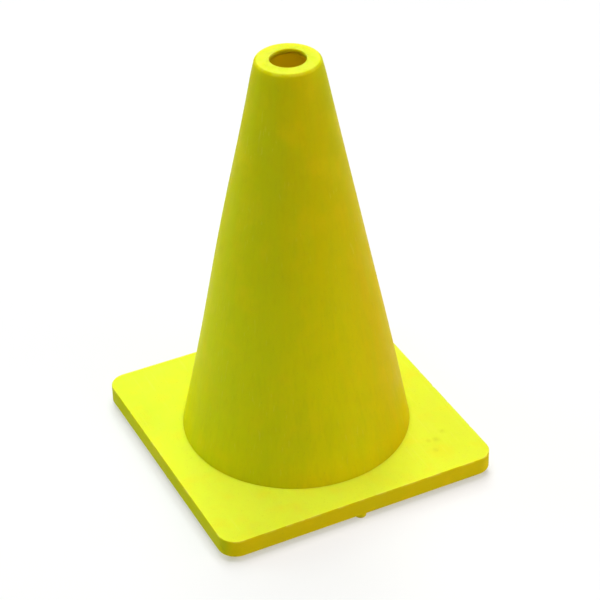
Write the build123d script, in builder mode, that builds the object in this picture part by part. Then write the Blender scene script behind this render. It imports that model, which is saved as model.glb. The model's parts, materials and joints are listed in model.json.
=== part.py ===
from build123d import *
import os
from math import atan, cos

# A one-colour 305 mm traffic cone. A tapered PVC shell with a thick lip is held in a heavy
# square base: the shell's foot flange lies in a step under the base, and keys moulded on the
# base pass through holes in the flange. Eight grip feet are pushed into sockets in the base.
#
# Frame: millimetres, +Z up along the cone's axis, origin on the ground under the axis.
# The base's sides lie along X and Y. The front side is -Y, the left side is -X.

# ---- driving dimensions ----
TOTAL_HEIGHT = 305.0

BASE_SIDE = 206.0
BASE_THICKNESS = 13.0
BASE_CORNER_RADIUS = 13.0
BASE_TOP_EDGE_RADIUS = 0.8
BASE_BOTTOM_EDGE_RADIUS = 0.5

SHELL_BASE_RADIUS = 80.0        # outside, where the shell leaves the base's top face
SHELL_TOP_RADIUS = 22.0         # outside, where the taper would meet the top plane
SHELL_WALL = 2.5

LIP_THICKNESS = 4.0
LIP_EDGE_RADIUS = 2.2
TOP_HOLE_RADIUS = 12.0
TOP_HOLE_EDGE_RADIUS = 0.8

RIB_COUNT = 4                   # anti-jam ribs inside the shell
RIB_WIDTH = 2.4
RIB_PROUD = 1.5
RIB_LOW_Z = 190.0
RIB_RAMP_Z = 196.0              # the rib's foot ramps out of the wall up to here
RIB_HIGH_Z = 262.0

FLANGE_RADIUS = 90.0
FLANGE_THICKNESS = 3.0
KEY_COUNT = 12
KEY_RADIUS = 2.4
KEY_CIRCLE_RADIUS = 86.4
SEAT_CLEARANCE = 0.15           # shell to base, on the radius
KEY_CLEARANCE = 0.1

FOOT_HEIGHT = 5.0
FOOT_TOP_RADIUS = 4.4
FOOT_TIP_RADIUS = 4.0
FOOT_TIP_EDGE_RADIUS = 0.6
FOOT_SIDE_INSET = 1.5           # base side to the nearest point of a mid-side foot
FOOT_CORNER_PLACE = 84.0        # X and Y of a corner foot
PLUG_RADIUS = 2.5
PLUG_LENGTH = 6.0
PLUG_CHAMFER = 0.6
PLUG_CLEARANCE = 0.05
SOCKET_EXTRA_DEPTH = 0.5

# ---- worked out ----
BASE_LOW_Z = FOOT_HEIGHT
BASE_TOP_Z = BASE_LOW_Z + BASE_THICKNESS
FLANGE_TOP_Z = BASE_LOW_Z + FLANGE_THICKNESS
LIP_UNDER_Z = TOTAL_HEIGHT - LIP_THICKNESS

TAPER = (SHELL_BASE_RADIUS - SHELL_TOP_RADIUS) / (TOTAL_HEIGHT - BASE_TOP_Z)
WALL_ACROSS = SHELL_WALL / cos(atan(TAPER))     # the wall measured along the radius

MID_FOOT_PLACE = BASE_SIDE / 2 - FOOT_SIDE_INSET - FOOT_TOP_RADIUS


def outer_radius(z):
    """Outside radius of the shell's taper at height z."""
    return SHELL_BASE_RADIUS - TAPER * (z - BASE_TOP_Z)


def inner_radius(z):
    """Inside radius of the shell's wall at height z."""
    return outer_radius(z) - WALL_ACROSS


os.makedirs("parts", exist_ok=True)

# ---- one anti-jam rib, on the +X side of the shell's inside ----
RIB_ROOT = WALL_ACROSS / 2                      # how deep the rib's back lies in the wall

with BuildPart() as rib:
    with BuildSketch(Plane.XZ):
        with BuildLine():
            Polyline(
                (inner_radius(RIB_LOW_Z) + RIB_ROOT, RIB_LOW_Z),
                (inner_radius(RIB_LOW_Z), RIB_LOW_Z),
                (inner_radius(RIB_RAMP_Z) - RIB_PROUD, RIB_RAMP_Z),
                (inner_radius(RIB_HIGH_Z) - RIB_PROUD, RIB_HIGH_Z),
                (inner_radius(RIB_HIGH_Z) + RIB_ROOT, RIB_HIGH_Z),
                close=True,
            )
        make_face()
    extrude(amount=RIB_WIDTH / 2, both=True)

# ---- shell ----
with BuildPart() as cone_shell:
    with BuildSketch(Plane.XZ):
        with BuildLine():
            Polyline(
                (inner_radius(BASE_LOW_Z), BASE_LOW_Z),
                (FLANGE_RADIUS, BASE_LOW_Z),
                (FLANGE_RADIUS, FLANGE_TOP_Z),
                (outer_radius(FLANGE_TOP_Z), FLANGE_TOP_Z),
                (outer_radius(TOTAL_HEIGHT), TOTAL_HEIGHT),
                (TOP_HOLE_RADIUS, TOTAL_HEIGHT),
                (TOP_HOLE_RADIUS, LIP_UNDER_Z),
                (inner_radius(LIP_UNDER_Z), LIP_UNDER_Z),
                close=True,
            )
        make_face()
    revolve(axis=Axis.Z)
    hole_edge, lip_edge = cone_shell.edges().group_by(Axis.Z)[-1].sort_by(SortBy.RADIUS)
    fillet(lip_edge, LIP_EDGE_RADIUS)
    fillet(hole_edge, TOP_HOLE_EDGE_RADIUS)
    with PolarLocations(0, RIB_COUNT, start_angle=45):
        add(rib.part)
    with BuildSketch(Plane.XY.offset(BASE_LOW_Z)):
        with PolarLocations(KEY_CIRCLE_RADIUS, KEY_COUNT):
            Circle(KEY_RADIUS + KEY_CLEARANCE)
    extrude(amount=FLANGE_THICKNESS, mode=Mode.SUBTRACT)
cone_shell.part.label = "cone_shell"
export_step(cone_shell.part, "parts/cone_shell.step")

# ---- feet ----
feet_places = {
    "foot_front": (0, -MID_FOOT_PLACE),
    "foot_right": (MID_FOOT_PLACE, 0),
    "foot_back": (0, MID_FOOT_PLACE),
    "foot_left": (-MID_FOOT_PLACE, 0),
    "foot_front_left": (-FOOT_CORNER_PLACE, -FOOT_CORNER_PLACE),
    "foot_front_right": (FOOT_CORNER_PLACE, -FOOT_CORNER_PLACE),
    "foot_back_right": (FOOT_CORNER_PLACE, FOOT_CORNER_PLACE),
    "foot_back_left": (-FOOT_CORNER_PLACE, FOOT_CORNER_PLACE),
}
BOTTOM = (Align.CENTER, Align.CENTER, Align.MIN)

for foot_name, (foot_x, foot_y) in feet_places.items():
    with BuildPart() as foot:
        with Locations((foot_x, foot_y, 0)):
            Cone(FOOT_TIP_RADIUS, FOOT_TOP_RADIUS, FOOT_HEIGHT, align=BOTTOM)
        fillet(foot.edges().filter_by(GeomType.CIRCLE).sort_by(Axis.Z)[0], FOOT_TIP_EDGE_RADIUS)
        with Locations((foot_x, foot_y, FOOT_HEIGHT)):
            Cylinder(PLUG_RADIUS, PLUG_LENGTH, align=BOTTOM)
        chamfer(foot.edges().filter_by(GeomType.CIRCLE).sort_by(Axis.Z)[-1], PLUG_CHAMFER)
    foot.part.label = foot_name
    export_step(foot.part, f"parts/{foot_name}.step")

# ---- base ----
with BuildPart() as base_plate:
    with BuildSketch(Plane.XY.offset(BASE_LOW_Z)):
        RectangleRounded(BASE_SIDE, BASE_SIDE, BASE_CORNER_RADIUS)
    extrude(amount=BASE_THICKNESS)
    fillet(base_plate.edges().group_by(Axis.Z)[-1], BASE_TOP_EDGE_RADIUS)
    fillet(base_plate.edges().group_by(Axis.Z)[0], BASE_BOTTOM_EDGE_RADIUS)

    # stepped socket: a tapered hole for the shell over a step for its flange
    with BuildSketch(Plane.XZ):
        with BuildLine():
            Polyline(
                (0, BASE_LOW_Z),
                (FLANGE_RADIUS + SEAT_CLEARANCE, BASE_LOW_Z),
                (FLANGE_RADIUS + SEAT_CLEARANCE, FLANGE_TOP_Z),
                (outer_radius(FLANGE_TOP_Z) + SEAT_CLEARANCE, FLANGE_TOP_Z),
                (outer_radius(BASE_TOP_Z) + SEAT_CLEARANCE, BASE_TOP_Z),
                (0, BASE_TOP_Z),
                close=True,
            )
        make_face()
    revolve(axis=Axis.Z, mode=Mode.SUBTRACT)

    # keys that lock the flange
    with BuildSketch(Plane.XY.offset(BASE_LOW_Z)):
        with PolarLocations(KEY_CIRCLE_RADIUS, KEY_COUNT):
            Circle(KEY_RADIUS)
    extrude(amount=FLANGE_THICKNESS)

    # foot sockets
    with BuildSketch(Plane.XY.offset(BASE_LOW_Z)):
        with Locations(*feet_places.values()):
            Circle(PLUG_RADIUS + PLUG_CLEARANCE)
    extrude(amount=PLUG_LENGTH + SOCKET_EXTRA_DEPTH, mode=Mode.SUBTRACT)
base_plate.part.label = "base_plate"
export_step(base_plate.part, "parts/base_plate.step")
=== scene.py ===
"""A one-colour traffic cone on a pale light table.

The tapered shell, the square base and the eight grip feet are rebuilt as detailed meshes round the
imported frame, each in the place of its own CAD node. Lengths are in metres.
"""

import json
import math
import random
from collections import namedtuple

import bmesh
import bpy
from mathutils import Matrix, Vector, noise


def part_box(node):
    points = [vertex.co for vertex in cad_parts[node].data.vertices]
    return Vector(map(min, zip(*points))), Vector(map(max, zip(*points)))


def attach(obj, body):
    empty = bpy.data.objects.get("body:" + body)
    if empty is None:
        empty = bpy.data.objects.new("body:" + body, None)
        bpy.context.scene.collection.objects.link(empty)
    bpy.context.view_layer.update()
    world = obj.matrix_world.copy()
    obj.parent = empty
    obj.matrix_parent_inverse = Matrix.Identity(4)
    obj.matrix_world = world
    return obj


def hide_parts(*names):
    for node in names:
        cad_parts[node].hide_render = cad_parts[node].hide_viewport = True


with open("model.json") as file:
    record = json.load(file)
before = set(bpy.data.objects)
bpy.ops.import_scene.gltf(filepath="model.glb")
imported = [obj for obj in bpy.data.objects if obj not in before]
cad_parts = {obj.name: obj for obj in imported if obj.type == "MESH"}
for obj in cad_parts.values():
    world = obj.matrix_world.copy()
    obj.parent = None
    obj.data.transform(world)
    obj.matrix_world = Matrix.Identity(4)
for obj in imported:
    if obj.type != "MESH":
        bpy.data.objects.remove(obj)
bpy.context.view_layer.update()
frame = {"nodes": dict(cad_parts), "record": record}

# ---- sizes read from the frame ----
shell_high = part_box("cone_shell")[1]
base_low, base_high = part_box("base_plate")

MOUNTS = {mount["name"]: mount for mount in frame["record"]["mounts"]}

TOP_Z = shell_high[2]
FLANGE_RADIUS = shell_high[0]
BASE_HALF = base_high[0]
BASE_LOW_Z = base_low[2]
BASE_TOP_Z = base_high[2]
HOLE_RADIUS = MOUNTS["top_hole"]["dims"]["r_mm"] / 1000
FEET = sorted(name for name in frame["nodes"] if name.startswith("foot_"))

# ---- sizes the frame doesn't state ----
MM = 0.001

SHELL_BASE_RADIUS = 80.0 * MM       # outside, level with the base's top face
SHELL_TOP_RADIUS = 22.0 * MM        # outside, where the taper would meet the top plane
SHELL_WALL = 2.5 * MM
LIP_THICKNESS = 4.0 * MM
LIP_EDGE_RADIUS = 2.8 * MM
LIP_DRAW_IN = 0.35 * MM             # how far the wall's top leans in past its straight taper
LIP_DRAW_IN_FROM = 12.0 * MM        # below the top
HOLE_EDGE_RADIUS = 0.5 * MM
UNDER_LIP_RADIUS = 1.5 * MM
BORE_FOOT_RADIUS = 1.5 * MM
HOLE_UNEVEN = [                     # where the hole's cut edge strays from a circle: degrees, outward
    (45, 0.7 * MM),
    (112, -0.6 * MM),
]
HOLE_UNEVEN_REACH = 4.0 * MM        # round the hole
HOLE_UNEVEN_POWER = 6               # of a cosine: a higher one makes the uneven stretch shorter
SHELL_WAVE = 0.55 * MM              # the soft wall's left side bulges, and dips above and below that
SHELL_WAVE_RISE = 0.56              # where it bulges most, as a share of the wall's height
SHELL_WAVE_TURNS = 1.35             # waves from foot to top
SHELL_WAVE_SIDE = Vector((-0.9, 0.44, 0.0))
SHELL_BULGE = 0.65 * MM             # the opposite side bulges low down
SHELL_WOBBLE = 0.10 * MM            # a slow unevenness all round
SHELL_WOBBLE_AROUND = 1.3           # its fineness round the axis
SHELL_WOBBLE_ALONG = 14.0           # and per metre of height
INNER_FACE_SHARE = 0.4              # of the wall's thickness, which moves with its inner face

RIB_COUNT = 4
RIB_WIDTH = 2.4 * MM
RIB_PROUD = 1.5 * MM
RIB_LOW_Z = 190.0 * MM
RIB_HIGH_Z = 262.0 * MM
RIB_RAMP = 6.0 * MM                 # at its low end
RIB_TOP_RAMP = 1.0 * MM
RIB_FLANK = (0.3, 0.7)              # where its flank starts and ends, in rib widths from its middle

FLANGE_THICKNESS = 3.0 * MM
KEY_COUNT = 12
KEY_RADIUS = 2.4 * MM
KEY_HOLE_RADIUS = 2.5 * MM
KEY_CIRCLE_RADIUS = 86.4 * MM
KEY_ROOT = 0.5 * MM                 # how far a key reaches into the base above the flange
SEAT_CLEARANCE = 0.15 * MM
MOUTH_GAP = 0.05 * MM               # between the shell and the rim of its socket
SOCKET_EDGE_RADIUS = 0.12 * MM

BASE_CORNER_RADIUS = 13.0 * MM
BASE_TOP_EDGE_RADIUS = 0.6 * MM
BASE_BOTTOM_EDGE_RADIUS = 0.5 * MM
BASE_WAVE = 0.10 * MM               # how far the top face sags near its edge
BASE_WAVE_FINENESS = 18.0           # per metre
BASE_WAVE_ZONE = 2.0 * MM           # below the top
BASE_WAVE_SPAN = (0.8, 0.95)        # where it starts and is full, as shares of the way to a side
BASE_SIDE_WAVE = 0.0006             # as a share of the distance from the axis
BASE_SIDE_FINENESS = Vector((22.0, 22.0, 60.0))
BASE_SIDE_FROM = 0.9                # as a share of the way to a side

FOOT_TAPER = 0.4 * MM               # from the shoulder's radius to the tip's
FOOT_TIP_EDGE_RADIUS = 0.7 * MM
FOOT_SHOULDER_EDGE_RADIUS = 0.3 * MM
FOOT_SIDE_START = (0.02 * MM, 0.4 * MM)     # of its tapered side: out from the tip, above its rounding
FOOT_SIDE_END = 0.5 * MM                    # below the base
FOOT_GROOVE_DEPTH = 0.5 * MM
FOOT_GROOVE_SHARE = 0.45            # of the tip's radius
PLUG_RADIUS = 2.5 * MM
PLUG_CHAMFER = 0.6 * MM
PLUG_SOCKET_RADIUS = 2.55 * MM
PLUG_SOCKET_DEPTH = 6.5 * MM

TAPER = (SHELL_BASE_RADIUS - SHELL_TOP_RADIUS) / (TOP_Z - BASE_TOP_Z)
TAPER_ANGLE = math.atan(TAPER)
WALL_ACROSS = SHELL_WALL / math.cos(TAPER_ANGLE)
FLANGE_TOP_Z = BASE_LOW_Z + FLANGE_THICKNESS
LIP_UNDER_Z = TOP_Z - LIP_THICKNESS

SAME_POINT = 0.001 * MM             # points closer than this are one point
SHARP_DEGREES = 38                  # edges that turn more than this are shaded sharp
ROD_SIDES = 32
CUT_BEYOND = 1.0 * MM               # how far a cutting rod stands out of the face it cuts


def outer_radius(z):
    return SHELL_BASE_RADIUS - TAPER * (z - BASE_TOP_Z)


def inner_radius(z):
    return outer_radius(z) - WALL_ACROSS


# ---- small helpers ----
def smooth_step(value, low, high):
    t = min(max((value - low) / (high - low), 0.0), 1.0)
    return t * t * (3 - 2 * t)


def line(start, end, steps):
    """Points from start up to, but not including, end."""
    return [tuple(Vector(start).lerp(Vector(end), k / steps)) for k in range(steps)]


def arc(centre, radius, from_degrees, to_degrees, steps):
    """Points of a round stretch, both ends included."""
    points = []
    for k in range(steps + 1):
        a = math.radians(from_degrees + (to_degrees - from_degrees) * k / steps)
        points.append((centre[0] + radius * math.cos(a), centre[1] + radius * math.sin(a)))
    return points


def ring_mesh(name, rings, looped=True):
    """A tube of quads through rings of points, which loops back to its first ring or ends at poles."""
    mesh = bpy.data.meshes.new(name)
    around = len(rings[0])
    points = [tuple(p) for ring in rings for p in ring]
    faces = []
    for j in range(len(rings) if looped else len(rings) - 1):
        k = (j + 1) % len(rings)
        for i in range(around):
            n = (i + 1) % around
            faces.append((j * around + i, j * around + n, k * around + n, k * around + i))
    mesh.from_pydata(points, [], faces)
    piece = bpy.data.objects.new(name, mesh)
    bpy.context.scene.collection.objects.link(piece)
    tidy_mesh(mesh)
    return piece


def tidy_mesh(mesh):
    """Merge doubled points, turn the faces outward and shade smooth between sharp edges."""
    work = bmesh.new()
    work.from_mesh(mesh)
    bmesh.ops.remove_doubles(work, verts=work.verts, dist=SAME_POINT)
    bmesh.ops.recalc_face_normals(work, faces=work.faces)
    work.to_mesh(mesh)
    work.free()
    mesh.polygons.foreach_set("use_smooth", [True] * len(mesh.polygons))
    mesh.set_sharp_from_angle(angle=math.radians(SHARP_DEGREES))


def rods(name, radius, z_low, z_high, places):
    """Plain upright cylinders, used only to cut or join."""
    work = bmesh.new()
    for x, y in places:
        bmesh.ops.create_cone(
            work, cap_ends=True, segments=ROD_SIDES, radius1=radius, radius2=radius, depth=z_high - z_low,
            matrix=Matrix.Translation((x, y, (z_low + z_high) / 2)),
        )
    mesh = bpy.data.meshes.new(name)
    work.to_mesh(mesh)
    work.free()
    tool = bpy.data.objects.new(name, mesh)
    bpy.context.scene.collection.objects.link(tool)
    return tool


def boolean(piece, tool, operation):
    """Cut the tool out of the piece, or join it on, and leave a plain mesh."""
    modifier = piece.modifiers.new("work", "BOOLEAN")
    modifier.operation = operation
    modifier.object = tool
    modifier.solver = "EXACT"
    bpy.context.view_layer.update()
    made = bpy.data.meshes.new_from_object(piece.evaluated_get(bpy.context.evaluated_depsgraph_get()))
    piece.modifiers.clear()
    piece.data = made
    bpy.data.objects.remove(tool)
    tidy_mesh(made)


def circle_places(radius, count):
    step = 2 * math.pi / count
    return [(radius * math.cos(k * step), radius * math.sin(k * step)) for k in range(count)]


# ---- the shell ----
SHELL_AROUND = 288


def shell_profile():
    """The wall's section as (radius, height) points, anticlockwise from the flange's top."""
    tilt = math.degrees(TAPER_ANGLE)
    reach = LIP_EDGE_RADIUS * math.tan(math.radians(90 - tilt) / 2)
    lip_centre = (
        SHELL_TOP_RADIUS + math.sin(TAPER_ANGLE) * reach - math.cos(TAPER_ANGLE) * LIP_EDGE_RADIUS,
        TOP_Z - LIP_EDGE_RADIUS,
    )
    lip = arc(lip_centre, LIP_EDGE_RADIUS, tilt, 90, 8)
    hole = arc((HOLE_RADIUS + HOLE_EDGE_RADIUS, TOP_Z - HOLE_EDGE_RADIUS), HOLE_EDGE_RADIUS, 90, 180, 6)
    bore_foot = arc(
        (HOLE_RADIUS + BORE_FOOT_RADIUS, LIP_UNDER_Z + BORE_FOOT_RADIUS),
        BORE_FOOT_RADIUS, 180, 270, 6,
    )
    under = arc(
        (inner_radius(LIP_UNDER_Z) - UNDER_LIP_RADIUS, LIP_UNDER_Z - UNDER_LIP_RADIUS),
        UNDER_LIP_RADIUS, 90, tilt, 4,
    )
    points = line((outer_radius(FLANGE_TOP_Z), FLANGE_TOP_Z), lip[0], 96)
    points += lip[:-1]
    points += line(lip[-1], hole[0], 8)
    points += hole[:-1]
    points += line(hole[-1], bore_foot[0], 3)
    points += bore_foot[:-1]
    points += line(bore_foot[-1], under[0], 4)
    points += under[:-1]
    points += line(under[-1], (inner_radius(BASE_LOW_Z), BASE_LOW_Z), 72)
    points += line((inner_radius(BASE_LOW_Z), BASE_LOW_Z), (FLANGE_RADIUS, BASE_LOW_Z), 6)
    points += line((FLANGE_RADIUS, BASE_LOW_Z), (FLANGE_RADIUS, FLANGE_TOP_Z), 2)
    points += line((FLANGE_RADIUS, FLANGE_TOP_Z), (outer_radius(FLANGE_TOP_Z), FLANGE_TOP_Z), 6)
    return points


def rib_height(angle, radius, z):
    """How far an anti-jam rib stands out of the inner wall at a point."""
    step = 2 * math.pi / RIB_COUNT
    off = abs(angle % step - step / 2) * radius
    across = 1 - smooth_step(off / RIB_WIDTH, *RIB_FLANK)
    rising = smooth_step(z, RIB_LOW_Z, RIB_LOW_Z + RIB_RAMP)
    ending = 1 - smooth_step(z, RIB_HIGH_Z - RIB_TOP_RAMP, RIB_HIGH_Z)
    return RIB_PROUD * across * rising * ending


def hole_stray(a):
    """How far the hole's cut edge stands out of a true circle, in direction a."""
    stray = 0.0
    for degrees, outward in HOLE_UNEVEN:
        toward = max(math.cos(a - math.radians(degrees)), 0.0)
        stray += outward * toward ** HOLE_UNEVEN_POWER
    return stray


def make_shell():
    rings = []
    for radius, z in shell_profile():
        rise = min(max((z - BASE_TOP_Z) / (TOP_Z - BASE_TOP_Z), 0.0), 1.0)
        held = max(math.sin(math.pi * rise), 0.0)
        turn = 2 * math.pi * SHELL_WAVE_TURNS * (rise - SHELL_WAVE_RISE)
        wave = SHELL_WAVE * math.sqrt(held) * math.cos(turn)
        bulge = SHELL_BULGE * math.sin(math.pi * math.sqrt(rise)) ** 2
        inside = z < LIP_UNDER_Z and radius < inner_radius(z) + WALL_ACROSS * INNER_FACE_SHARE
        near_hole = 1 - smooth_step(radius, HOLE_RADIUS, HOLE_RADIUS + HOLE_UNEVEN_REACH)
        drawn_in = LIP_DRAW_IN * smooth_step(z, TOP_Z - LIP_DRAW_IN_FROM, TOP_Z) * (1 - near_hole)
        ring = []
        for i in range(SHELL_AROUND):
            a = 2 * math.pi * (i + 0.5) / SHELL_AROUND
            way = Vector((math.cos(a), math.sin(a), 0.0))
            r = radius
            if inside:
                r -= rib_height(a, radius, z)
            r += near_hole * hole_stray(a) - drawn_in
            around = way * SHELL_WOBBLE_AROUND
            r += SHELL_WOBBLE * held * noise.noise(around + Vector((0, 0, z * SHELL_WOBBLE_ALONG)))
            side = way.dot(SHELL_WAVE_SIDE)
            r += (wave if side > 0 else bulge) * side ** 2
            ring.append(way * r + Vector((0, 0, z)))
        rings.append(ring)
    shell = ring_mesh("shell", rings)
    holes = rods("holes", KEY_HOLE_RADIUS, BASE_LOW_Z - CUT_BEYOND, FLANGE_TOP_Z + CUT_BEYOND,
                 circle_places(KEY_CIRCLE_RADIUS, KEY_COUNT))
    boolean(shell, holes, "DIFFERENCE")
    return shell


# ---- the base ----
SIDE_STEPS = 120                    # points along one side, its two half corners included
CORNER_STEPS = 24
STRAIGHT_STEPS = (SIDE_STEPS - CORNER_STEPS) // 2
BASE_AROUND = 4 * SIDE_STEPS


def outline_point(i, inset):
    """Point i of the base's outline, drawn in by inset. Point 0 is the middle of the +X side."""
    half = BASE_HALF - inset
    corner = max(BASE_CORNER_RADIUS - inset, 0.0)
    s = i % SIDE_STEPS
    if s <= STRAIGHT_STEPS:
        x, y = half, (half - corner) * s / STRAIGHT_STEPS
    elif s < STRAIGHT_STEPS + CORNER_STEPS:
        a = math.radians(90 * (s - STRAIGHT_STEPS) / CORNER_STEPS)
        x, y = half - corner + corner * math.cos(a), half - corner + corner * math.sin(a)
    else:
        x, y = (half - corner) * (SIDE_STEPS - s) / STRAIGHT_STEPS, half
    for _ in range(i // SIDE_STEPS):
        x, y = -y, x
    return Vector((x, y, 0.0))


def round_point(i, radius):
    a = 2 * math.pi * i / BASE_AROUND
    return Vector((math.cos(a), math.sin(a), 0.0)) * radius


def outline_ring(inset, z):
    return [outline_point(i, inset) + Vector((0, 0, z)) for i in range(BASE_AROUND)]


def round_ring(radius, z):
    return [round_point(i, radius) + Vector((0, 0, z)) for i in range(BASE_AROUND)]


def between(ring_a, ring_b, steps):
    """Rings from ring_a towards ring_b, with neither of the two."""
    return [[p.lerp(q, k / steps) for p, q in zip(ring_a, ring_b)] for k in range(1, steps)]


def edge_rings(edge_radius, from_degrees, to_degrees, z_centre, steps):
    """The rounded edge of the outline, as rings."""
    section = arc((0.0, z_centre), edge_radius, from_degrees, to_degrees, steps)
    return [outline_ring(edge_radius - out, z) for out, z in section]


def base_rings():
    flange_seat = FLANGE_RADIUS + SEAT_CLEARANCE
    socket_low = outer_radius(FLANGE_TOP_Z) + SEAT_CLEARANCE
    socket_high = outer_radius(BASE_TOP_Z) + MOUTH_GAP
    mouth = arc((socket_high + SOCKET_EDGE_RADIUS, BASE_TOP_Z - SOCKET_EDGE_RADIUS),
                SOCKET_EDGE_RADIUS, 180, 90, 5)
    rings = [round_ring(r, z) for r, z in mouth]
    top_edge = edge_rings(BASE_TOP_EDGE_RADIUS, 90, 0, BASE_TOP_Z - BASE_TOP_EDGE_RADIUS, 6)
    rings += between(rings[-1], top_edge[0], 40)
    rings += top_edge
    low_edge = edge_rings(BASE_BOTTOM_EDGE_RADIUS, 0, -90, BASE_LOW_Z + BASE_BOTTOM_EDGE_RADIUS, 5)
    rings += between(top_edge[-1], low_edge[0], 10)
    rings += low_edge
    seat = round_ring(flange_seat, BASE_LOW_Z)
    rings += between(low_edge[-1], seat, 8)
    rings += [seat, round_ring(flange_seat, FLANGE_TOP_Z), round_ring(socket_low, FLANGE_TOP_Z)]
    rings += between(rings[-1], rings[0], 4)
    return rings


NICKS = 14
NICK_SEED = 5
NICK_WIDTHS = (1.5, 3.5)            # millimetres, least and most
NICK_DEPTHS = (0.15, 0.45)
NICK_DIP = 0.7                      # how far down a nick points, against inward


def make_nicks():
    """Small dents along the base's top edge, as (place, width, depth)."""
    draw = random.Random(NICK_SEED)
    nicks = []
    for _ in range(NICKS):
        place = outline_point(draw.randrange(BASE_AROUND), 0.0) + Vector((0, 0, BASE_TOP_Z))
        nicks.append((place, draw.uniform(*NICK_WIDTHS) * MM, draw.uniform(*NICK_DEPTHS) * MM))
    return nicks


def worn(point, nicks):
    """A point of the base with its slight unevenness and dents, never further out than the mould."""
    p = point.copy()
    side = max(abs(p.x), abs(p.y)) / BASE_HALF
    if p.z > BASE_TOP_Z - BASE_WAVE_ZONE:
        sag = 0.5 + 0.5 * noise.noise(Vector((p.x * BASE_WAVE_FINENESS, p.y * BASE_WAVE_FINENESS, 4.0)))
        p.z -= BASE_WAVE * sag * smooth_step(side, *BASE_WAVE_SPAN)
    if side > BASE_SIDE_FROM:
        pull = 0.5 + 0.5 * noise.noise(p * BASE_SIDE_FINENESS)
        p.x *= 1 - pull * BASE_SIDE_WAVE
        p.y *= 1 - pull * BASE_SIDE_WAVE
    for place, width, depth in nicks:
        near = (point - place).length
        if near < width:
            dent = depth * (1 - smooth_step(near, 0, width))
            p += Vector((-place.x, -place.y, -BASE_HALF * NICK_DIP)).normalized() * dent
    return p


def make_base():
    nicks = make_nicks()
    rings = [[worn(p, nicks) for p in ring] for ring in base_rings()]
    base = ring_mesh("base", rings)
    sockets = rods("sockets", PLUG_SOCKET_RADIUS, BASE_LOW_Z - CUT_BEYOND, BASE_LOW_Z + PLUG_SOCKET_DEPTH,
                   [foot_place(name) for name in FEET])
    boolean(base, sockets, "DIFFERENCE")
    keys = rods("keys", KEY_RADIUS, BASE_LOW_Z, FLANGE_TOP_Z + KEY_ROOT,
                circle_places(KEY_CIRCLE_RADIUS, KEY_COUNT))
    boolean(base, keys, "UNION")
    return base


# ---- the feet ----
FOOT_AROUND = 64


def foot_place(name):
    low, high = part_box(name)
    return (low[0] + high[0]) / 2, (low[1] + high[1]) / 2


def make_foot(name):
    """A stud: a plug, a shoulder and a slightly tapered foot with one round groove in its tread."""
    low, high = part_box(name)
    x, y = foot_place(name)
    shoulder = (high[0] - low[0]) / 2
    tip = shoulder - FOOT_TAPER
    tip_edge = FOOT_TIP_EDGE_RADIUS
    shoulder_edge = FOOT_SHOULDER_EDGE_RADIUS
    groove = tip * FOOT_GROOVE_SHARE
    plug_top = high[2]
    section = [(0.0, 0.0)]
    section += arc((groove - FOOT_GROOVE_DEPTH, FOOT_GROOVE_DEPTH), FOOT_GROOVE_DEPTH, -90, 0, 3)
    section += arc((groove + 2 * FOOT_GROOVE_DEPTH, FOOT_GROOVE_DEPTH), FOOT_GROOVE_DEPTH, 180, 270, 3)
    section += arc((tip - tip_edge, tip_edge), tip_edge, -90, 0, 6)
    side_start = (tip + FOOT_SIDE_START[0], tip_edge + FOOT_SIDE_START[1])
    section += line(side_start, (shoulder, BASE_LOW_Z - FOOT_SIDE_END), 6)
    section += arc((shoulder - shoulder_edge, BASE_LOW_Z - shoulder_edge), shoulder_edge, 0, 90, 4)
    section += [(PLUG_RADIUS, BASE_LOW_Z), (PLUG_RADIUS, plug_top - PLUG_CHAMFER)]
    section += [(PLUG_RADIUS - PLUG_CHAMFER, plug_top), (0.0, plug_top)]
    rings = []
    for radius, z in section:
        ring = []
        for i in range(FOOT_AROUND):
            a = 2 * math.pi * i / FOOT_AROUND
            ring.append(Vector((x + radius * math.cos(a), y + radius * math.sin(a), z)))
        rings.append(ring)
    return ring_mesh(name.replace("foot_", "grip_foot_"), rings, looped=False)


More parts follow.
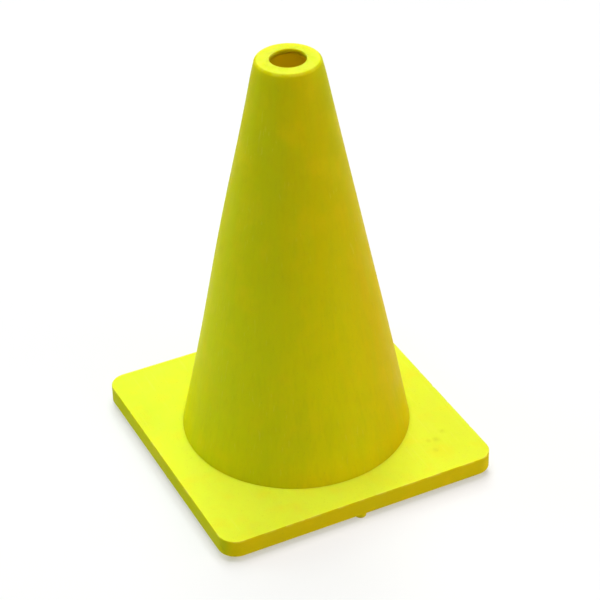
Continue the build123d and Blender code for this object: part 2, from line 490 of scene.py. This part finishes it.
# ---- materials ----
class Nodes:
    """A short way to write a node tree."""

    def __init__(self, name):
        self.material = bpy.data.materials.new(name)
        self.material.use_nodes = True
        self.tree = self.material.node_tree
        self.tree.nodes.clear()
        self.locate()

    def add(self, kind, **settings):
        node = self.tree.nodes.new(kind)
        for key, value in settings.items():
            setattr(node, key, value)
        return node

    def link(self, source, target):
        self.tree.links.new(source, target)

    def feed(self, socket, value):
        if isinstance(value, bpy.types.NodeSocket):
            self.link(value, socket)
        else:
            socket.default_value = value

    def apart(self, vector):
        node = self.add("ShaderNodeSeparateXYZ")
        self.link(vector, node.inputs[0])
        return node.outputs

    def locate(self):
        """Read a point's place, its distance from the axis, and how far its face looks up."""
        self.place = self.add("ShaderNodeTexCoord").outputs["Object"]
        self.x, self.y, self.z = self.apart(self.place)
        self.from_axis = self.length(self.x, self.y)
        self.normal = self.apart(self.add("ShaderNodeNewGeometry").outputs["Normal"])
        self.up = self.normal[2]

    def math(self, operation, a, b=0.0):
        node = self.add("ShaderNodeMath", operation=operation)
        self.feed(node.inputs[0], a)
        self.feed(node.inputs[1], b)
        return node.outputs[0]

    def length(self, a, b):
        squares = self.math("ADD", self.math("MULTIPLY", a, a), self.math("MULTIPLY", b, b))
        return self.math("SQRT", squares)

    def product(self, *factors):
        total = factors[0]
        for factor in factors[1:]:
            total = self.math("MULTIPLY", total, factor)
        return total

    def ramp(self, value, low, high, to_low=0.0, to_high=1.0):
        node = self.add("ShaderNodeMapRange", interpolation_type="SMOOTHSTEP")
        for key, given in zip(("Value", "From Min", "From Max", "To Min", "To Max"),
                              (value, low, high, to_low, to_high)):
            self.feed(node.inputs[key], given)
        return node.outputs["Result"]

    def mix(self, factor, a, b):
        node = self.add("ShaderNodeMix", data_type="RGBA")
        # a Mix node has Factor, A and B sockets for each data type: 0, 6 and 7 are the colour's
        self.feed(node.inputs[0], factor)
        self.feed(node.inputs[6], a)
        self.feed(node.inputs[7], b)
        return node.outputs[2]

    def noise(self, scale, detail=3.0, stretch=(1.0, 1.0, 1.0), turn=0.0):
        """Noise over the object, long where stretch is small, turned round the axis by turn degrees."""
        mapping = self.add("ShaderNodeMapping")
        self.link(self.place, mapping.inputs["Vector"])
        self.feed(mapping.inputs["Rotation"], (0.0, 0.0, math.radians(turn)))
        self.feed(mapping.inputs["Scale"], stretch)
        node = self.add("ShaderNodeTexNoise")
        self.link(mapping.outputs[0], node.inputs["Vector"])
        self.feed(node.inputs["Scale"], scale)
        self.feed(node.inputs["Detail"], detail)
        return node.outputs["Fac"]


def rgb(red, green, blue):
    return (red, green, blue, 1.0)


WALL_YELLOW = rgb(0.535, 0.46, 0.002)
# the wall's foot, painted paler for the bounce light from the base top
BOUNCE_LIT_YELLOW = rgb(0.72, 0.645, 0.003)
BASE_YELLOW = rgb(0.57, 0.53, 0.003)
# the painted highlight's paler, greener yellow on faces that look up
TOP_HIGHLIGHT_YELLOW = rgb(0.76, 0.84, 0.045)
# the painted bounce light of the hollow, on the inner face
INSIDE_BOUNCE_YELLOW = rgb(0.68, 0.555, 0.003)
COOL_YELLOW = rgb(0.46, 0.56, 0.008)
WARM_YELLOW = rgb(0.90, 0.58, 0.006)
# the painted warm side light and the painted side shade on the wall
AMBER_YELLOW = rgb(0.62, 0.42, 0.002)
OLIVE_YELLOW = rgb(0.42, 0.46, 0.002)
WORN_YELLOW = rgb(0.90, 0.88, 0.22)
DUST = rgb(0.35, 0.33, 0.02)
# dark olive for grime, and for the painted shade round the shell's foot
GRIME_AND_SHADE = rgb(0.34, 0.31, 0.01)
FOOT_YELLOW = rgb(0.58, 0.53, 0.008)
BASE_SIDE_LIGHTS = [               # the way a side of the base faces, as x, y, and its tone of painted light and shade
    ((-1.0, 0.0), rgb(0.44, 0.45, 0.002)),
    ((0.0, -1.0), rgb(0.59, 0.495, 0.003)),
]

PVC_GLOSS = 0.02
PVC_GLOSS_TINT = rgb(1.0, 0.95, 0.05)
SHELL_ROUGHNESS = 0.5
BASE_ROUGHNESS = 0.55
FOOT_ROUGHNESS = 0.65
SHELL_GLOW_REACH = 11.5 * MM        # how far red light passes through the thin wall
DENSE_GLOW_REACH = 1.5 * MM         # and through the filled plastic of the base and feet
PVC_GLOW_TINT = (1.0, 0.76, 0.05)   # the share of that reach for each colour
SKIN_DEPTH = 0.03 * MM
SKIN_BUMP = 0.6
SKIN_GRAIN = (1500.0, 2.0)          # noise scale and detail of the skin's grain
SKIN_GRAIN_SHARE = 0.6              # against its dimples
SKIN_DIMPLES = (260.0, 2.0)
SHEEN_UNEVENNESS = 0.07             # more and less rough from patch to patch
RUBBED_SMOOTHER = 0.12              # how much less rough a rub mark is
NOISE_SPAN = (0.3, 0.7)             # the range that most noise stays in

# strengths of the painted highlight on faces that look up
SHELL_TOP_HIGHLIGHT = 0.85
BASE_TOP_HIGHLIGHT = 1.0
SHELL_RUB_MARKS = 0.07              # strengths of the wear, the dirt and the painted shade, 0 to 1
BASE_RUB_MARKS = 0.09
RIM_WEAR = 0.08
EDGE_WEAR = 0.18
EDGE_DIRT = 0.5
CORNER_SHADE = 0.12
CORNER_SHADE_REACH = 3.0 * MM
SCUFF_DIRT = 0.30
TREAD_DIRT = 0.35

TOP_HIGHLIGHT_FACING = (0.82, 1.0)       # how far a face looks up where the painted highlight starts and is full
FLAT_FACING = (0.70, 0.95)          # and where the marks of dragging do
SIDE_FACING = (0.55, 0.95)          # how far a side of the base faces its way where its painted tone does
INNER_FACE_DEPTH = (1.3 * MM, 1.9 * MM)     # in from the outer face
INNER_FACE_FADE = (3.0 * MM, 0.8 * MM)      # below the top, where the inner face's colour ends
RIM_WEAR_BAND = (2.2 * MM, 0.6 * MM)        # below the top
RIM_WEAR_PATCHES = (0.45, 0.60)
EDGE_BAND = (0.4 * MM, 1.8 * MM)            # in from the base's outline
UPPER_EDGE_BAND = (1.6 * MM, 0.3 * MM)      # below its top
LOWER_EDGE_BAND = (0.3 * MM, 1.6 * MM)      # above its underside
EDGE_PATCHES = (0.46, 0.60)
TREAD_BAND = (0.3 * MM, 2.5 * MM)           # above the ground
BACKED_HEIGHT = 30.0 * MM                   # of the wall's foot, which the base darkens

SCUFFS = [                          # old smudges on the base's top face: x, y, reach
    (82.5 * MM, -63.5 * MM, 3.5 * MM),
    (74.5 * MM, -69.5 * MM, 4.5 * MM),
    (69.0 * MM, -68.5 * MM, 3.0 * MM),
    (68.0 * MM, -79.5 * MM, 3.5 * MM),
]


def top_highlighted(nodes, colour, strength):
    """The colour with a painted highlight: a paler, greener yellow where the face looks up, fully so at
    strength 1.
    """
    return nodes.mix(nodes.ramp(nodes.up, *TOP_HIGHLIGHT_FACING, 0.0, strength), colour, TOP_HIGHLIGHT_YELLOW)


# painted light and shade on the wall's sides, as coloured lamps would give them
SIDE_LIGHT_CHANGE_Z = 150.0 * MM
SIDE_LIGHT_FACING = (0.55, 1.0)          # how far the wall faces a painted side light's way where it starts and is full
PAINTED_SIDE_LIGHTS = [                     # toward x, y, colour, strength up to SIDE_LIGHT_CHANGE_Z and at the top
    ((-0.89, -0.46), COOL_YELLOW, 0.26, 0.26),
    ((0.90, -0.44), AMBER_YELLOW, 0.65, 0.0),
    ((0.90, -0.44), OLIVE_YELLOW, 0.0, 0.9),
]


def side_lit(nodes, colour):
    """The wall's colour with painted side light round it: painted cool light on one side, and on another
    painted warm light low down and painted shade higher up.
    """
    for (x, y), side_light_colour, low_strength, top_strength in PAINTED_SIDE_LIGHTS:
        along = nodes.math("ADD", nodes.product(nodes.x, x), nodes.product(nodes.y, y))
        facing = nodes.math("DIVIDE", along, nodes.from_axis)
        strength = nodes.ramp(nodes.z, SIDE_LIGHT_CHANGE_Z, TOP_Z, low_strength, top_strength)
        colour = nodes.mix(nodes.ramp(facing, *SIDE_LIGHT_FACING, 0.0, strength), colour, side_light_colour)
    return colour


# noise that mixes a colour in: not at all where it is low, at full strength where it is high
Tint = namedtuple("Tint", "colour strength low high scale detail stretch turn",
                  defaults=[(1.0, 1.0, 1.0), 0.0])

MOTTLING = [                        # slow drifts to a cooler and a warmer yellow, and fine dust
    Tint(COOL_YELLOW, 0.16, 0.40, 0.72, 15.0, 4.0),
    Tint(WARM_YELLOW, 0.18, 0.46, 0.74, 48.0, 4.0, turn=30.0),
    Tint(DUST, 0.25, 0.64, 0.74, 900.0, 2.0),
]
STREAKS = [                         # upright, where the plastic flowed and where stacked cones rub
    Tint(COOL_YELLOW, 0.20, 0.35, 0.70, 120.0, 3.0, stretch=(1.0, 1.0, 0.05)),
    Tint(GRIME_AND_SHADE, 0.08, 0.45, 0.75, 420.0, 2.0, stretch=(1.0, 1.0, 0.04)),
]


def tinted(nodes, colour, tints):
    """Uneven pigment: the colour with each tint mixed in, in turn."""
    for tint in tints:
        noise_here = nodes.noise(tint.scale, tint.detail, tint.stretch, tint.turn)
        amount = nodes.ramp(noise_here, tint.low, tint.high, 0.0, tint.strength)
        colour = nodes.mix(amount, colour, tint.colour)
    return colour


MARK_FINENESS = 700.0
MARK_PEAKS = (0.70, 0.78)           # how high the noise is where a mark starts and is full
MARKED_FINENESS = (30.0, 2.0)       # noise scale and detail of the patches that have marks
MARKED_PATCHES = (0.50, 0.60)
WALL_RUBBING = [(0.0, (1.0, 1.0, 0.035))]                               # upright, from stacking
BASE_RUBBING = [(25.0, (1.0, 0.03, 1.0)), (-50.0, (1.0, 0.04, 1.0))]    # across, from dragging


def scratches(nodes, ways):
    """Thin straight rub marks: the peaks of fine noise, stretched and turned as each way says."""
    found = 0.0
    for turn, stretch in ways:
        peaks = nodes.ramp(nodes.noise(MARK_FINENESS, 0.0, stretch, turn), *MARK_PEAKS)
        here = nodes.ramp(nodes.noise(*MARKED_FINENESS, turn=turn), *MARKED_PATCHES)
        found = nodes.math("MAXIMUM", found, nodes.product(peaks, here))
    return found


SCUFF_FINENESS = (260.0, 4.0)
SCUFF_BREAKS = (0.25, 0.75)
SCUFF_THINNEST = 0.35
SCUFF_ZONE = (1.0 * MM, 0.5 * MM)   # below the base's top, where the smudges start and are full


def scuffs(nodes):
    """Soft smudges round the places in SCUFFS, uneven but with no outline."""
    found = 0.0
    for x, y, reach in SCUFFS:
        away = nodes.length(nodes.math("SUBTRACT", nodes.x, x), nodes.math("SUBTRACT", nodes.y, y))
        found = nodes.math("MAXIMUM", found, nodes.ramp(away, 0.0, reach, 1.0, 0.0))
    broken = nodes.ramp(nodes.noise(*SCUFF_FINENESS), *SCUFF_BREAKS, SCUFF_THINNEST, 1.0)
    on_top = nodes.ramp(nodes.z, BASE_TOP_Z - SCUFF_ZONE[0], BASE_TOP_Z - SCUFF_ZONE[1])
    return nodes.product(found, broken, on_top)


def inside_outline(nodes):
    """How far a point lies inside the base's rounded square outline."""
    straight = BASE_HALF - BASE_CORNER_RADIUS
    beyond = [nodes.math("MAXIMUM", nodes.math("SUBTRACT", nodes.math("ABSOLUTE", v), straight), 0.0)
              for v in (nodes.x, nodes.y)]
    return nodes.math("SUBTRACT", BASE_CORNER_RADIUS, nodes.length(*beyond))


def pvc_surface(nodes, colour, marks, roughness, glow_reach=DENSE_GLOW_REACH):
    """Finish a soft PVC material. marks, 0 to 1, is where it is rubbed smooth and slightly hollow."""
    smoothest, roughest = roughness - SHEEN_UNEVENNESS, roughness + SHEEN_UNEVENNESS
    sheen = nodes.ramp(nodes.noise(60.0), *NOISE_SPAN, smoothest, roughest)
    sheen = nodes.math("SUBTRACT", sheen, nodes.product(marks, RUBBED_SMOOTHER))
    grain = nodes.product(nodes.noise(*SKIN_GRAIN), SKIN_GRAIN_SHARE)
    skin = nodes.math("ADD", grain, nodes.noise(*SKIN_DIMPLES))
    skin = nodes.math("SUBTRACT", skin, marks)
    bump = nodes.add("ShaderNodeBump")
    nodes.feed(bump.inputs["Strength"], SKIN_BUMP)
    nodes.feed(bump.inputs["Distance"], SKIN_DEPTH)
    nodes.feed(bump.inputs["Height"], skin)
    shader = nodes.add("ShaderNodeBsdfPrincipled")
    nodes.feed(shader.inputs["Base Color"], colour)
    nodes.feed(shader.inputs["Roughness"], sheen)
    nodes.feed(shader.inputs["Specular IOR Level"], PVC_GLOSS)
    nodes.feed(shader.inputs["Specular Tint"], PVC_GLOSS_TINT)
    nodes.feed(shader.inputs["Subsurface Weight"], 1.0)
    nodes.feed(shader.inputs["Subsurface Radius"], PVC_GLOW_TINT)
    nodes.feed(shader.inputs["Subsurface Scale"], glow_reach)
    nodes.link(bump.outputs["Normal"], shader.inputs["Normal"])
    return finished(nodes, shader)


def finished(nodes, shader):
    output = nodes.add("ShaderNodeOutputMaterial")
    nodes.link(shader.outputs["BSDF"], output.inputs["Surface"])
    return nodes.material


def shell_material():
    nodes = Nodes("shell_pvc")
    # painted light: the wall is painted paler low down, where the bright base top lights it, and darker
    # towards the top
    painted_bounce_light = nodes.ramp(nodes.z, BASE_TOP_Z, TOP_Z, 1.0, 0.0)
    colour = side_lit(nodes, nodes.mix(painted_bounce_light, WALL_YELLOW, BOUNCE_LIT_YELLOW))
    colour = tinted(nodes, top_highlighted(nodes, colour, SHELL_TOP_HIGHLIGHT), MOTTLING + STREAKS)
    # the inner face, deeper in the wall than the outer one, is painted a warmer yellow in place of the
    # outer face's colours: painted light of bounces in the hollow
    wall_at_z = nodes.math("SUBTRACT", outer_radius(0.0), nodes.product(nodes.z, TAPER))
    depth = nodes.math("SUBTRACT", wall_at_z, nodes.from_axis)
    below_top = nodes.ramp(nodes.z, TOP_Z - INNER_FACE_FADE[0], TOP_Z - INNER_FACE_FADE[1], 1.0, 0.0)
    inside = nodes.product(nodes.ramp(depth, *INNER_FACE_DEPTH), below_top)
    colour = nodes.mix(inside, colour, INSIDE_BOUNCE_YELLOW)
    lines = scratches(nodes, WALL_RUBBING)
    rim = nodes.ramp(nodes.z, TOP_Z - RIM_WEAR_BAND[0], TOP_Z - RIM_WEAR_BAND[1], 0.0, RIM_WEAR)
    rubbed = nodes.product(rim, nodes.ramp(nodes.noise(150.0), *RIM_WEAR_PATCHES))
    worn_here = nodes.math("MAXIMUM", nodes.product(lines, SHELL_RUB_MARKS), rubbed)
    colour = nodes.mix(worn_here, colour, WORN_YELLOW)
    # less light comes through the wall's foot, which the base backs
    glow_full_z = BASE_TOP_Z + BACKED_HEIGHT
    glow_reach = nodes.ramp(nodes.z, BASE_TOP_Z, glow_full_z, DENSE_GLOW_REACH, SHELL_GLOW_REACH)
    return pvc_surface(nodes, colour, lines, SHELL_ROUGHNESS, glow_reach)


def base_material():
    nodes = Nodes("base_pvc")
    colour = BASE_YELLOW
    # painted shade on the -x side, darker and greener, and painted warm light on the -y side
    for (x, y), painted_side_colour in BASE_SIDE_LIGHTS:
        facing = nodes.math("ADD", nodes.product(nodes.normal[0], x), nodes.product(nodes.normal[1], y))
        colour = nodes.mix(nodes.ramp(facing, *SIDE_FACING), colour, painted_side_colour)
    colour = tinted(nodes, top_highlighted(nodes, colour, BASE_TOP_HIGHLIGHT), MOTTLING)
    # painted shade in the corner where the shell rises, darker towards the shell's foot
    corner_shade_ends = SHELL_BASE_RADIUS + CORNER_SHADE_REACH
    corner = nodes.ramp(nodes.from_axis, SHELL_BASE_RADIUS, corner_shade_ends, CORNER_SHADE, 0.0)
    colour = nodes.mix(corner, colour, GRIME_AND_SHADE)
    edge = nodes.ramp(inside_outline(nodes), *EDGE_BAND, 1.0, 0.0)
    upper = nodes.ramp(nodes.z, BASE_TOP_Z - UPPER_EDGE_BAND[0], BASE_TOP_Z - UPPER_EDGE_BAND[1])
    lower = nodes.ramp(nodes.z, BASE_LOW_Z + LOWER_EDGE_BAND[0], BASE_LOW_Z + LOWER_EDGE_BAND[1], 1.0, 0.0)
    patches = nodes.ramp(nodes.noise(110.0, 4.0), *EDGE_PATCHES)
    # the marks of dragging are on the flat faces only
    flat = nodes.ramp(nodes.math("ABSOLUTE", nodes.up), *FLAT_FACING)
    lines = nodes.product(scratches(nodes, BASE_RUBBING), flat)
    rubbed = nodes.product(edge, upper, patches, EDGE_WEAR)
    worn_here = nodes.math("MAXIMUM", nodes.product(lines, BASE_RUB_MARKS), rubbed)
    colour = nodes.mix(worn_here, colour, WORN_YELLOW)
    low_dirt = nodes.product(edge, lower, patches, EDGE_DIRT)
    dirt = nodes.math("MAXIMUM", nodes.product(scuffs(nodes), SCUFF_DIRT), low_dirt)
    colour = nodes.mix(dirt, colour, GRIME_AND_SHADE)
    return pvc_surface(nodes, colour, lines, BASE_ROUGHNESS)


def foot_material():
    nodes = Nodes("foot_pvc")
    tread = nodes.ramp(nodes.z, *TREAD_BAND, TREAD_DIRT, 0.0)
    colour = nodes.mix(tread, tinted(nodes, FOOT_YELLOW, MOTTLING), DUST)
    return pvc_surface(nodes, colour, scratches(nodes, BASE_RUBBING), FOOT_ROUGHNESS)


FLOOR_TONE = 0.84                   # under the object, where the floor has no light of its own
LIT_FLOOR_TONE = 0.44               # darker elsewhere, as it gives light of its own there
FLOOR_UNEVENNESS = 0.01
FLOOR_GLOW = 0.50
FLOOR_UNLIT_EDGE = 15.0 * MM        # inside the base's outline, where the floor's light starts
FLOOR_ROUGHNESS = 0.9
FLOOR_GLOSS = 0.1


def floor_material():
    """A pale light table, whose own light softens the shadow. It is unlit under the object."""
    nodes = Nodes("floor")
    out = nodes.math("MAXIMUM", nodes.math("ABSOLUTE", nodes.x), nodes.math("ABSOLUTE", nodes.y))
    lit = nodes.ramp(out, BASE_HALF - FLOOR_UNLIT_EDGE, BASE_HALF)
    tone = nodes.ramp(lit, 0.0, 1.0, FLOOR_TONE, LIT_FLOOR_TONE)
    uneven = nodes.ramp(nodes.noise(3.0), *NOISE_SPAN, -FLOOR_UNEVENNESS, FLOOR_UNEVENNESS)
    tone = nodes.math("ADD", tone, uneven)
    colour = nodes.add("ShaderNodeCombineColor")
    for socket in colour.inputs[:3]:
        nodes.link(tone, socket)
    shader = nodes.add("ShaderNodeBsdfPrincipled")
    nodes.link(colour.outputs[0], shader.inputs["Base Color"])
    nodes.feed(shader.inputs["Roughness"], FLOOR_ROUGHNESS)
    nodes.feed(shader.inputs["Specular IOR Level"], FLOOR_GLOSS)
    nodes.feed(shader.inputs["Emission Color"], rgb(1.0, 1.0, 1.0))
    nodes.feed(shader.inputs["Emission Strength"], nodes.product(lit, FLOOR_GLOW))
    return finished(nodes, shader)


# ---- the pieces, each on the one body and in the place of its CAD node ----
def install(piece, node, material):
    piece.data.materials.clear()
    piece.data.materials.append(material)
    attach(piece, "root")
    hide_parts(node)


install(make_shell(), "cone_shell", shell_material())
install(make_base(), "base_plate", base_material())
foot_pvc = foot_material()
for foot_name in FEET:
    install(make_foot(foot_name), foot_name, foot_pvc)


# ---- the studio ----
SURROUND_STRENGTH = 0.85
OVERHEAD_STRENGTH = 0.06
SURROUND_FULL_TO = 0.08             # heights on the surround, as sines of the angle above the horizon
SURROUND_DIM_FROM = 0.32
FLOOR_RADIUS = 1.3
FLOOR_SIDES = 128
LAMP_AIM = Vector((0.0, 0.0, 0.13))
LAMPS = [                           # name, place, width, watts, colour
    ("overhead", (0.0, 0.0, 3.0), 2.0, 64.0, (0.98, 0.98, 1.0)),
    ("high_back", (0.7, 1.5, 2.6), 1.6, 37.0, (0.94, 1.0, 0.94)),
    ("left", (-1.3, 1.0, 0.8), 0.8, 6.6, (0.66, 1.0, 0.78)),
    ("right_low", (1.2, -1.0, 0.25), 0.5, 3.4, (1.0, 0.54, 0.54)),
    ("front", (0.8, -1.4, 1.1), 1.0, 5.2, (1.0, 0.74, 0.74)),
]


def make_floor():
    mesh = bpy.data.meshes.new("floor")
    rim = [(x, y, 0.0) for x, y in circle_places(FLOOR_RADIUS, FLOOR_SIDES)]
    mesh.from_pydata(rim, [], [range(FLOOR_SIDES)])
    mesh.materials.append(floor_material())
    floor = bpy.data.objects.new("floor", mesh)
    bpy.context.scene.collection.objects.link(floor)


def make_light(name, place, width, watts, colour):
    """A round soft box that faces the object."""
    data = bpy.data.lights.new(name, "AREA")
    data.shape = "DISK"
    data.size = width
    data.energy = watts
    data.color = colour
    light = bpy.data.objects.new(name, data)
    bpy.context.scene.collection.objects.link(light)
    light.visible_camera = False
    light.location = place
    light.rotation_mode = "QUATERNION"
    light.rotation_quaternion = (LAMP_AIM - Vector(place)).to_track_quat("-Z", "Y")


def make_world():
    """A pale surround that dims overhead, where the lamps take over."""
    world = bpy.data.worlds.new("studio")
    bpy.context.scene.world = world
    world.use_nodes = True
    tree = world.node_tree
    background = tree.nodes["Background"]
    direction = tree.nodes.new("ShaderNodeTexCoord")
    apart = tree.nodes.new("ShaderNodeSeparateXYZ")
    dimming = tree.nodes.new("ShaderNodeMapRange")
    dimming.interpolation_type = "SMOOTHSTEP"
    dimming.inputs["From Min"].default_value = SURROUND_FULL_TO
    dimming.inputs["From Max"].default_value = SURROUND_DIM_FROM
    dimming.inputs["To Min"].default_value = SURROUND_STRENGTH
    dimming.inputs["To Max"].default_value = OVERHEAD_STRENGTH
    tree.links.new(direction.outputs["Generated"], apart.inputs[0])
    tree.links.new(apart.outputs["Z"], dimming.inputs["Value"])
    tree.links.new(dimming.outputs["Result"], background.inputs["Strength"])
    background.inputs["Color"].default_value = rgb(1.0, 1.0, 1.0)


AIM_HEIGHT = (BASE_TOP_Z + TOP_Z) / 2
VIEW_AZIMUTH = -25.89               # degrees
VIEW_ELEVATION = 35.12
VIEW_ROLL = -1.22
VIEW_DISTANCE = 1.438
VIEW_RIGHT = 5.15 * MM              # how far right of and above the axis point the camera stands
VIEW_UP = -35.44 * MM
VIEW_LENS = 128.74                  # millimetres, as is the sensor's width
VIEW_SENSOR = 36.0


def make_camera():
    a, e, roll = (math.radians(v) for v in (VIEW_AZIMUTH, VIEW_ELEVATION, VIEW_ROLL))
    back = Vector((math.sin(a) * math.cos(e), -math.cos(a) * math.cos(e), math.sin(e)))
    level_right = Vector((0, 0, 1)).cross(back).normalized()
    level_up = back.cross(level_right)
    right = level_right * math.cos(roll) + level_up * math.sin(roll)
    up = level_up * math.cos(roll) - level_right * math.sin(roll)
    data = bpy.data.cameras.new("camera")
    data.lens = VIEW_LENS
    data.sensor_width = VIEW_SENSOR
    camera = bpy.data.objects.new("camera", data)
    bpy.context.scene.collection.objects.link(camera)
    place = Vector((0, 0, AIM_HEIGHT)) + back * VIEW_DISTANCE + right * VIEW_RIGHT + up * VIEW_UP
    camera.matrix_world = Matrix.Translation(place) @ Matrix((right, up, back)).transposed().to_4x4()
    bpy.context.scene.camera = camera


make_floor()
make_world()
for lamp_name, lamp_place, lamp_width, lamp_watts, lamp_colour in LAMPS:
    make_light(lamp_name, lamp_place, lamp_width, lamp_watts, lamp_colour)
make_camera()

scene = bpy.context.scene
scene.view_settings.view_transform = "Standard"
scene.view_settings.look = "None"
